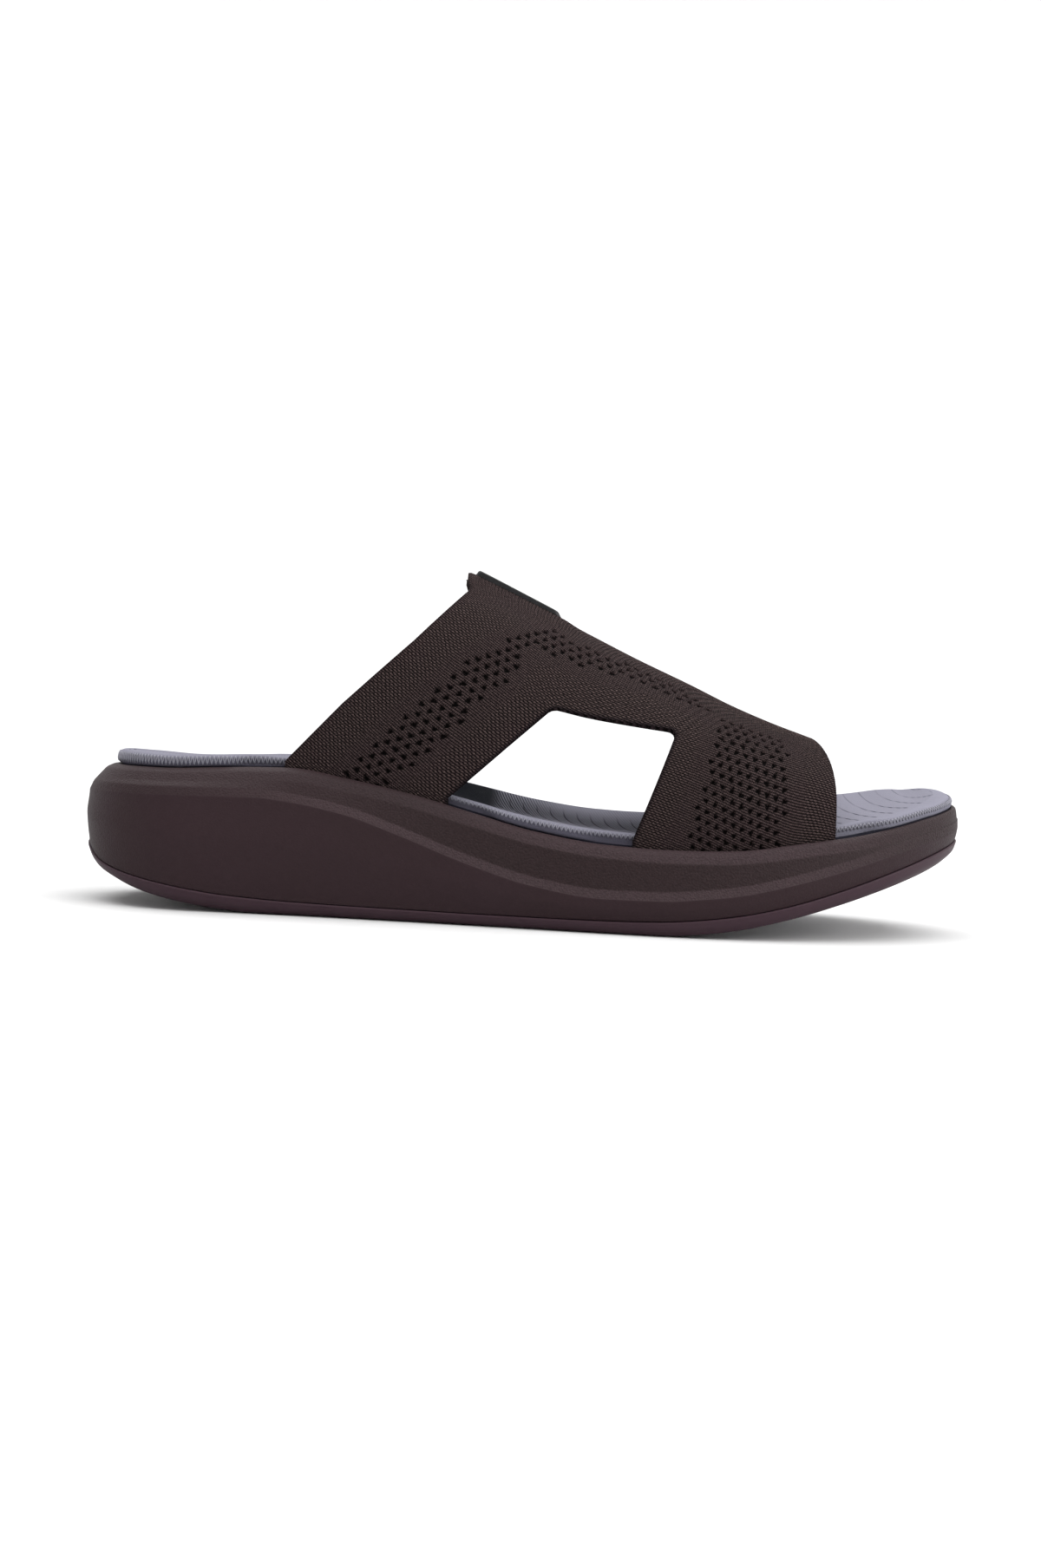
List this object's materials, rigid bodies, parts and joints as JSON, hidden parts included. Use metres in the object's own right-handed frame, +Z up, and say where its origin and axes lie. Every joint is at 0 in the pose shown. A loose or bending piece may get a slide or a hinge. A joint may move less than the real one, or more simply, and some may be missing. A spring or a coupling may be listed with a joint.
{
  "type": "arabic sandal",
  "caption": "Slip-on sandal for a right foot: seamless knitted upper with side windows and an open toe, soft insole, thick sculpted midsole and thin grooved outsole.",
  "frame": {"origin": "middle of the sandal's bounding box on the ground", "axes": "+X to the toe, +Y to the inner (medial) side of this right sandal, +Z up"},
  "size_m": [0.2898, 0.11, 0.1135],
  "materials": {
    "outsole_rubber": "matte dark red-brown",
    "midsole_eva": "matte dark brown foam, finely grained",
    "insole_textile": "blue-grey textile",
    "upper_knit": "dark brown knit",
    "badge_plate": "satin black"
  },
  "bodies": {
    "root": {"outsole": "outsole_rubber", "midsole": "midsole_eva", "insole": "insole_textile", "upper": "upper_knit", "badge": "badge_plate"}
  },
  "joints": []
}
